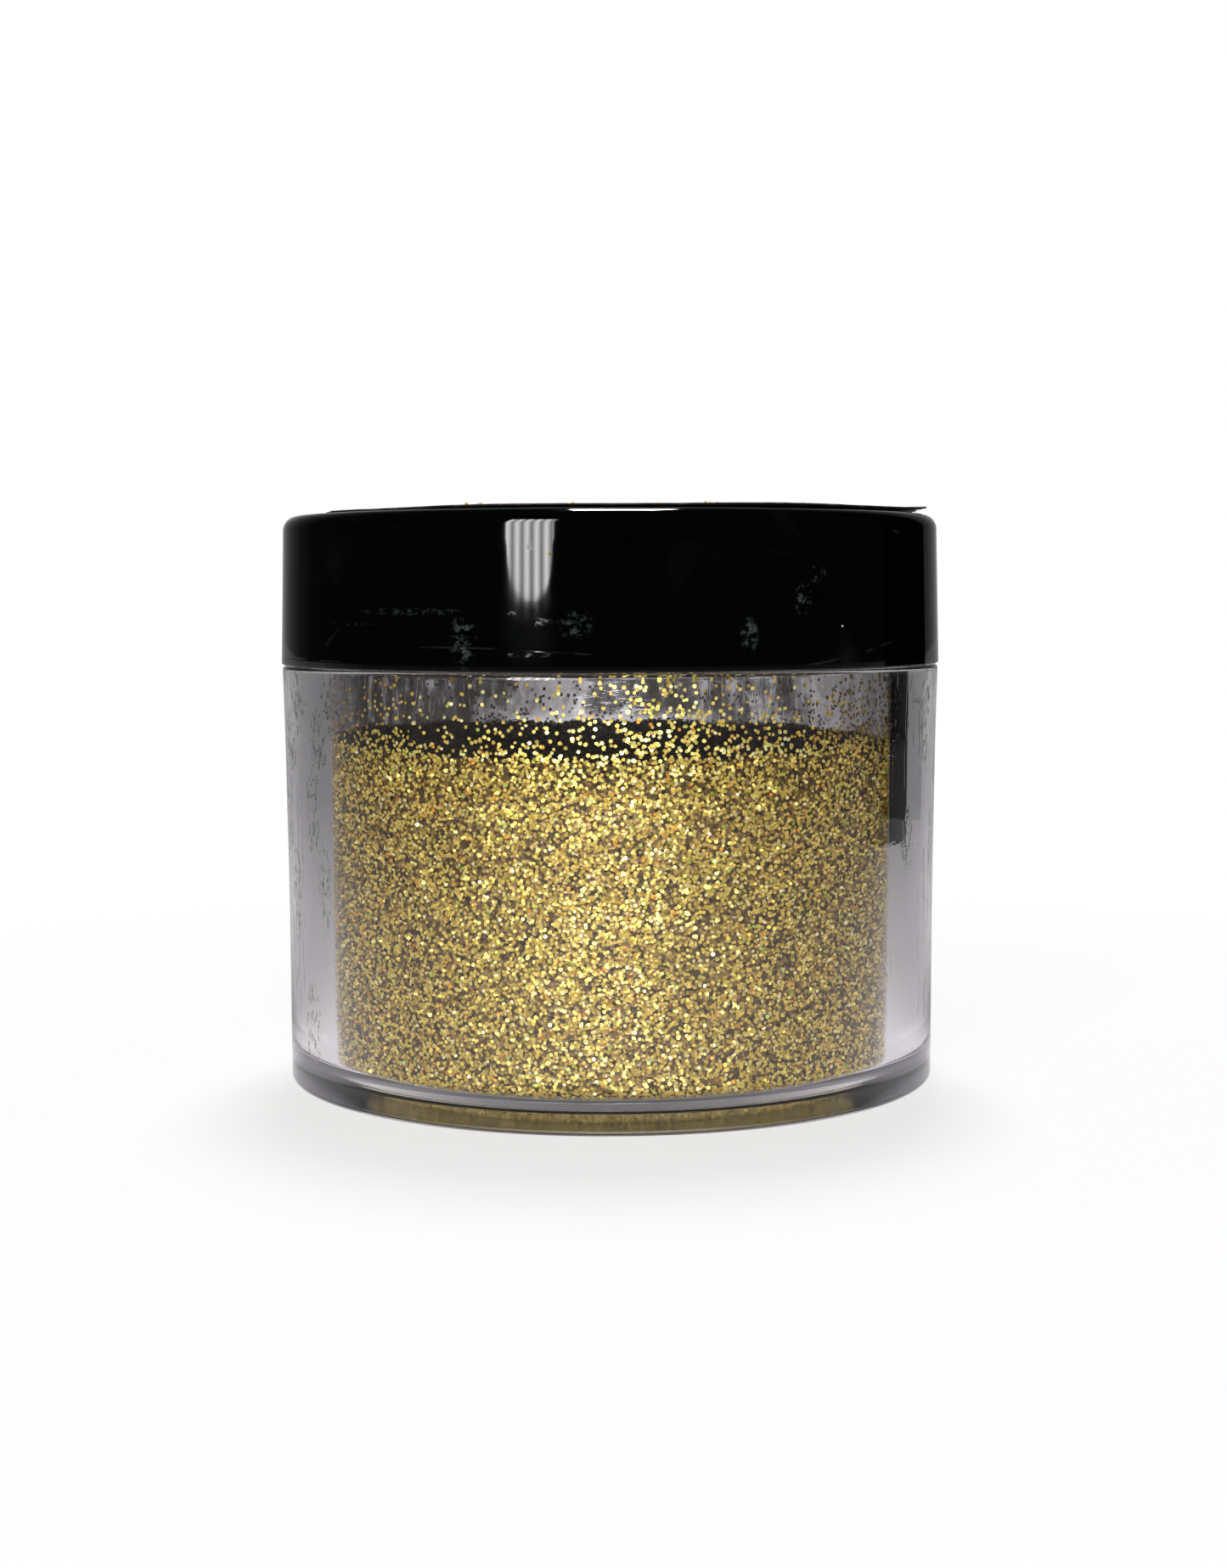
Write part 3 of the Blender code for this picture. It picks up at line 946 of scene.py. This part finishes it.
def make_liner(mat):
    """A foam disc, pressed in a little where it sits on the neck's land."""
    top, low, r = LINER_HIGH.z, LINER_LOW.z, LINER_HIGH.x
    under = [(0.0, low), (BORE_MOUTH_R - 0.5 * MM, low), (BORE_MOUTH_R, low + LINER_PRESS)]
    under += [(NECK_ROOT_R, low + LINER_PRESS), (NECK_ROOT_R + 0.4 * MM, low)]
    under += arc(r - LINER_ROUND, low + LINER_ROUND, LINER_ROUND, -90, 0, 3)
    over = arc(r - LINER_ROUND, top - LINER_ROUND, LINER_ROUND, 0, 90, 3) + [(0.0, top)]
    liner = turned("foam_liner", under, None, over)
    return finish_piece(liner, "liner", mat, ["lid_liner"])


LABEL_R = 32.60 * MM
LABEL_SHIFT = 1.10 * MM  # stuck a little off the lid's middle
LABEL_GAP = 0.05 * MM  # of glue, under the film
LABEL_THICK = 0.6 * (LABEL_HIGH.z - LABEL_LOW.z)
LABEL_WAVES = (  # the ragged edge: how deep, how many round, and where each starts
    (0.22 * MM, 3, 0.6),
    (0.12 * MM, 11, 0.0),
    (0.09 * MM, 29, 1.1),
    (0.06 * MM, 47, 2.0),
    (0.05 * MM, 83, 0.3),
)
LABEL_CORNER_REACH = 1.50 * MM
LABEL_CORNER_AT = -14.0  # degrees from +X
LABEL_CORNER_WIDTH = 9.0
LABEL_CORNER_LIFT = 0.10 * MM
LABEL_CORNER_FROM = 0.85  # of the radius
LABEL_CURL = 0.30 * MM
LABEL_CURL_FROM = 0.80
LABEL_RIPPLE = 0.05 * MM


def outer_part(share, start):
    return max(0.0, share - start) / (1 - start)


def label_row(share, edge, corner, a, height):
    """One ring of the label, share of the way out from its middle."""
    curl = LABEL_CURL * (0.6 + 0.4 * np.cos(a)) * outer_part(share, LABEL_CURL_FROM)
    lift = curl + LABEL_CORNER_LIFT * corner * outer_part(share, LABEL_CORNER_FROM)
    ripple = LABEL_RIPPLE * np.sin(7 * a + 9 * share) * share
    r = edge * share
    z = height + lift + ripple
    return np.stack([r * np.cos(a) + LABEL_SHIFT, r * np.sin(a), z], axis=1).tolist()


def make_label(mat):
    """A thin hand-cut film on the lid, with a ragged edge and one lifted corner."""
    rings, columns = 24, 720
    degrees = np.linspace(0, 360, columns, endpoint=False)
    a = np.radians(degrees)
    edge = LABEL_R + sum(size * np.sin(waves * a + phase) for size, waves, phase in LABEL_WAVES)
    away = np.abs((degrees - LABEL_CORNER_AT + 180) % 360 - 180)
    corner = np.clip(1 - away / LABEL_CORNER_WIDTH, 0.0, 1.0)
    edge = edge + LABEL_CORNER_REACH * corner
    low = LABEL_LOW.z + LABEL_GAP
    high = low + LABEL_THICK
    points = [(0.0, 0.0, high), (0.0, 0.0, low)]
    for i in range(1, rings + 1):
        points += label_row(i / rings, edge, corner, a, high)
    for i in range(rings, 0, -1):
        points += label_row(i / rings, edge, corner, a, low)
    last = 2 + (2 * rings - 1) * columns
    faces = [(0, 2 + k, 2 + (k + 1) % columns) for k in range(columns)]
    faces += ring_faces(2, 2 * rings, columns)
    faces += [(1, last + (k + 1) % columns, last + k) for k in range(columns)]
    label = polygon_object("lid_label", points, faces)
    return finish_piece(label, "lid", mat, ["top_label"])


EDGE_CLUSTERS = (  # middle in mm from the axis, how many, and how wide the cluster is in mm
    (-14.3, 10, 1.6),
    (4.2, 9, 1.2),
    (10.0, 12, 1.5),
    (-5.0, 6, 6.0),
    (20, 8, 6.0),
)
TOP_FLAKES = 60
TOP_FLAKES_R = 31 * MM
LID_FLAKE_GAP = 0.03 * MM
SIDE_FLAKES = (  # degrees right of the front, height
    (-9.4, 57.4 * MM),
    (40, 50.2 * MM),
    (150, 54.0 * MM),
    (-100, 49.0 * MM),
)


def label_edge_flakes(rng):
    """Flakes in clusters just inside the label's front edge."""
    spots = []
    for middle, count, spread in EDGE_CLUSTERS:
        for _ in range(count):
            x = (middle + rng.normal(0, spread / 2)) * MM
            back = rng.uniform(0.3, 4.0)
            y = -math.sqrt(max(0.0, LABEL_R**2 - (x - LABEL_SHIFT) ** 2)) + back * MM
            z = LABEL_HIGH.z + (0.13 - 0.03 * back + rng.uniform(0.0, 0.14)) * MM
            spots.append((x, y, z, 0.0, rng.uniform(-1.6, 0.0), 1.0))
    return spots


def label_top_flakes(rng):
    spots = []
    for _ in range(TOP_FLAKES):
        r = TOP_FLAKES_R * math.sqrt(rng.random())
        a = rng.random() * 2 * math.pi
        z = LABEL_HIGH.z + LID_FLAKE_GAP
        spots.append((r * math.cos(a), r * math.sin(a), z, 0.0, 0.0, 1.0))
    return spots


def lid_side_flakes():
    spots = []
    for degrees, height in SIDE_FLAKES:
        a = math.radians(FRONT + degrees)
        r = RIM_R - LID_FLAKE_GAP
        spots.append((r * math.cos(a), r * math.sin(a), height, math.cos(a), math.sin(a), 0.0))
    return spots


def make_lid_flakes(rng, mat):
    """Stray glitter on the lid. Each spot is a place and the way that its flake faces."""
    spots = np.array(label_edge_flakes(rng) + label_top_flakes(rng) + lid_side_flakes())
    count = len(spots)
    tone, tint, spin = flake_looks(rng, count)
    tone = np.clip(tone + 0.2, 0, 1)
    normals = tilted(rng, spots[:, 3:], 0.25)
    radii = FLAKE_R * rng.uniform(0.7, 1.0, count)
    flakes = flake_object("lid_flakes", spots[:, :3], normals, radii, tone, tint, spin)
    return finish_piece(flakes, "lid", mat)


# ---- stage


BACKDROP = (  # angle from straight behind over 180 degrees, and how bright it is there
    (0.000, 0.90),
    (0.045, 0.60),
    (0.095, 0.30),
    (0.135, 0.18),
    (0.185, 0.09),
    (0.245, 0.036),
    (0.310, 0.010),
    (1.000, 0.004),
)
FLOOR_GLOW = (  # distance from the jar over GLOW_REACH, and how bright the floor is there
    (0.00, 0.80),
    (0.03, 0.80),
    (0.073, 0.62),
    (0.16, 0.47),
    (0.30, 0.32),
    (1.00, 0.27),
)
FLOOR_FRONT_GLOW = (  # the same on the camera's side, where the floor darkens sooner
    (0.00, 0.92),
    (0.04, 0.92),
    (0.08, 0.78),
    (0.16, 0.42),
    (0.30, 0.14),
    (1.00, 0.07),
)
FLOOR_TURN_GLOW = (  # direction from the jar, from the camera's side to straight behind
    (0.00, 0.72),
    (0.50, 0.72),
    (0.83, 0.64),
    (0.95, 0.84),
    (0.985, 1.30),
    (0.995, 2.20),
    (1.00, 2.20),
)
UNDER_TURN_GLOW = (  # the same, for the floor under the jar
    (0.00, 0.18),
    (0.05, 0.25),
    (0.10, 0.38),
    (0.25, 0.80),
    (0.50, 0.86),
    (0.60, 1.20),
    (0.80, 1.00),
    (1.00, 0.90),
)
FLOOR_REACH = 3.0
FLOOR_SIDES = 64
FLOOR_DROP = 0.02 * MM  # keeps the floor and the foot apart
GLOW_REACH = 1.5
UNDER_REACH = 0.10
UNDER_GLOW = 1.3
SHOWN_REACH = 0.25
FLOOR_TINT = (1.0, 0.97, 1.0)
PANEL_AZIMUTH = -26.5  # degrees to the left of the camera, seen from the jar
PANEL_DISTANCE = 1.2
PANEL_WIDTH = 0.345
PANEL_LOW, PANEL_TOP = 0.095, 0.70
PANEL_STRIPES = 5
PANEL_CORNERS = ((0, 0), (1, 0), (1, 1), (0, 1))
# How far up the panel, and how much of its width is lit there: it narrows to its foot
PANEL_TAPER = ((0.0, 0.25), (0.006, 0.55), (0.018, 0.80), (0.040, 0.93), (0.090, 1.0))
PANEL_LIGHT = 15.0


def make_world():
    """White to the camera. The jar sees a studio that is bright behind and dark in front."""
    world = bpy.data.worlds.new("studio")
    world.use_nodes = True
    bpy.context.scene.world = world
    n = Nodes(world.node_tree)
    direction = n.add("ShaderNodeTexCoord").outputs["Generated"]
    angle = n.math("DIVIDE", n.math("ARCCOSINE", n.axis(direction, 1)), math.pi)
    colour = n.mix(n.ray("Camera"), n.ramp(angle, BACKDROP), (1.0, 1.0, 1.0))
    light = n.add("ShaderNodeBackground", {"Color": colour, "Strength": 1.0})
    n.add("ShaderNodeOutputWorld", {"Surface": light.outputs[0]})


def floor_glow(n, where, far):
    """How the floor looks in the jar: it glows by distance and direction, like a lit studio."""
    turned_to = n.math("MULTIPLY_ADD", n.math("DIVIDE", n.axis(where, 1), far), 0.5)
    near = n.math("DIVIDE", far, UNDER_REACH, True)
    around = n.ramp(near, ((0.38, 0.0), (0.55, 1.0)))
    turn = n.mix(around, n.ramp(turned_to, UNDER_TURN_GLOW), n.ramp(turned_to, FLOOR_TURN_GLOW))
    reach = n.math("DIVIDE", far, GLOW_REACH, True)
    sideways = n.ramp(turned_to, ((0.50, 0.0), (0.72, 1.0)))
    fading = n.mix(sideways, n.ramp(reach, FLOOR_FRONT_GLOW), n.ramp(reach, FLOOR_GLOW))
    lit = n.mix(1.0, fading, turn, "MULTIPLY")
    middle = n.ramp(near, ((0.20, 1.0), (0.27, 0.0)))
    lit = n.mix(middle, lit, (UNDER_GLOW, UNDER_GLOW, UNDER_GLOW))
    return n.mix(1.0, lit, FLOOR_TINT, "MULTIPLY")


def floor_paper():
    """Pale paper with soft shadows near the jar, which turns to plain white further out."""
    mat, n = new_material("floor_paper")
    where = n.position()
    far = n.length(where)
    paper = n.principled(Base_Color=(0.82, 0.82, 0.82, 1.0), Roughness=0.9)
    white = n.add("ShaderNodeEmission", {"Color": (1.0, 1.0, 1.0, 1.0)}).outputs[0]
    glow = n.add("ShaderNodeEmission", {"Color": floor_glow(n, where, far)}).outputs[0]
    away = n.ramp(n.math("DIVIDE", far, SHOWN_REACH, True), ((0.16, 0.72), (0.7, 1.0)))
    shown = n.mix_shader(away, paper, white)
    n.output(n.mix_shader(n.ray("Camera"), glow, shown))
    return mat


def make_floor():
    angles = np.linspace(0, 2 * math.pi, FLOOR_SIDES, endpoint=False)
    level = BASE_Z - FLOOR_DROP
    points = [(FLOOR_REACH * math.cos(a), FLOOR_REACH * math.sin(a), level) for a in angles]
    floor = polygon_object("floor", points, [tuple(range(FLOOR_SIDES))], smooth=False)
    floor.data.materials.append(floor_paper())


FLAG_DISTANCE = 0.30
FLAG_TURNS = (46.0, 78.0)  # degrees right of straight behind, seen from the jar
FLAG_TOP = 0.45
FLAG_STEPS = 12


def make_flag():
    """A curved dark card behind on the right. It makes the dark band in the jar's right wall."""
    turns = np.radians(90 - np.linspace(*FLAG_TURNS, FLAG_STEPS + 1))
    points = []
    for z in (0.0, FLAG_TOP):
        points += [(FLAG_DISTANCE * math.cos(a), FLAG_DISTANCE * math.sin(a), z) for a in turns]
    over = len(turns)
    faces = [(k, k + 1, over + k + 1, over + k) for k in range(FLAG_STEPS)]
    flag = polygon_object("dark_card", points, faces)
    mat, n = new_material("dark_card")
    dark = n.add("ShaderNodeBsdfDiffuse", {"Color": (0.001, 0.001, 0.001, 1.0)})
    n.output(dark.outputs[0])
    flag.data.materials.append(mat)
    flag.visible_camera = False


def striped_light():
    """Soft vertical stripes of light, narrowing towards the foot."""
    mat, n = new_material("striped_light")
    place = n.add("ShaderNodeUVMap", uv_map="across").outputs[0]
    across, up = n.axis(place, 0), n.axis(place, 1)
    wave = n.math("SINE", n.math("MULTIPLY", across, 2 * math.pi * PANEL_STRIPES))
    stripes = n.ramp(n.math("MULTIPLY_ADD", wave, 0.5), ((0.0, 0.28), (1.0, 1.0)))
    middle = n.math("ABSOLUTE", n.math("SUBTRACT", across, 0.5))
    keep = n.math("LESS_THAN", n.math("MULTIPLY", middle, 2.0), n.ramp(up, PANEL_TAPER))
    inputs = {"Color": n.mix(keep, (0, 0, 0), stripes), "Strength": PANEL_LIGHT}
    n.output(n.add("ShaderNodeEmission", inputs).outputs[0])
    return mat


def make_panel():
    """The soft light whose reflection stands on the lid."""
    a = math.radians(FRONT + PANEL_AZIMUTH)
    centre = Vector((PANEL_DISTANCE * math.cos(a), PANEL_DISTANCE * math.sin(a), 0.0))
    across = Vector((-math.sin(a), math.cos(a), 0.0)) * PANEL_WIDTH
    points = []
    for u, v in PANEL_CORNERS:
        side = centre + across * (u - 0.5)
        points.append((side.x, side.y, PANEL_TOP if v else PANEL_LOW))
    panel = polygon_object("striped_light", points, [(0, 1, 2, 3)], smooth=False)
    uv = panel.data.uv_layers.new(name="across")
    for loop, corner in zip(uv.data, PANEL_CORNERS):
        loop.uv = corner
    panel.data.materials.append(striped_light())
    panel.visible_camera = False


LIGHTS = (  # name, place, width, height, watts, and whether gloss shows it
    ("overhead", (0.02, 0.35, 0.95), 0.20, 0.30, 9.0, True),
    ("front_fill", (0.05, -1.1, 0.22), 0.5, 0.5, 12.5, False),
)


def area_light(name, place, target, width, height, power, glossy):
    data = bpy.data.lights.new(name, "AREA")
    data.shape = "RECTANGLE"
    data.size, data.size_y = width, height
    data.energy = power
    light = new_object(name, data)
    light.location = place
    aim = Vector(target) - Vector(place)
    light.rotation_mode = "QUATERNION"
    light.rotation_quaternion = aim.to_track_quat("-Z", "Y")
    light.visible_camera = False
    light.visible_glossy = glossy


def make_lights():
    centre = (CAD_LOW + CAD_HIGH) / 2
    for name, place, width, height, power, glossy in LIGHTS:
        area_light(name, place, centre, width, height, power, glossy)


# ---- camera


CAMERA_AWAY = 7.70  # lid radii from the axis
CAMERA_HEIGHT = 1.498  # lid radii above the base
CAMERA_PITCH = -4.53  # degrees
CAMERA_ROLL = 0.18
CAMERA_YAW = 0.068
CAMERA_LENS = 57.5  # mm
CAMERA_CLIP = 0.01


def make_camera():
    data = bpy.data.cameras.new("camera")
    data.lens = CAMERA_LENS
    data.clip_start = CAMERA_CLIP
    camera = new_object("camera", data)
    radius = (CAD_HIGH.x - CAD_LOW.x) / 2
    camera.location = (0.0, -CAMERA_AWAY * radius, CAD_LOW.z + CAMERA_HEIGHT * radius)
    turn = (
        Matrix.Rotation(math.radians(-CAMERA_YAW), 4, "Z")
        @ Matrix.Rotation(math.radians(90 + CAMERA_PITCH), 4, "X")
        @ Matrix.Rotation(math.radians(-CAMERA_ROLL), 4, "Z")
    )
    camera.rotation_euler = turn.to_euler()
    bpy.context.scene.camera = camera


def main():
    rng = np.random.default_rng(SEED)
    flake = gold_flake("gold_flake_glitter", metallic=0.5, shade=1.0)
    # A dark copy of the glitter for the top of the fill under the lid: its colours carry painted
    # shade.
    shaded_flake = gold_flake("gold_flake_painted_shade", metallic=0.9, shade=0.07)
    make_jar(clear_plastic())
    make_core(packed_glitter())
    make_wall_flakes(rng, flake)
    make_surface_flakes(rng, shaded_flake)
    make_base_flakes(rng, flake)
    make_clinging_flakes(rng, flake)
    make_dust(dust_haze())
    make_lid(black_gloss())
    make_liner(liner_foam())
    make_label(label_film())
    make_lid_flakes(rng, flake)
    make_world()
    make_floor()
    make_panel()
    make_flag()
    make_lights()
    make_camera()
    bpy.context.scene.view_settings.view_transform = "Standard"


main()
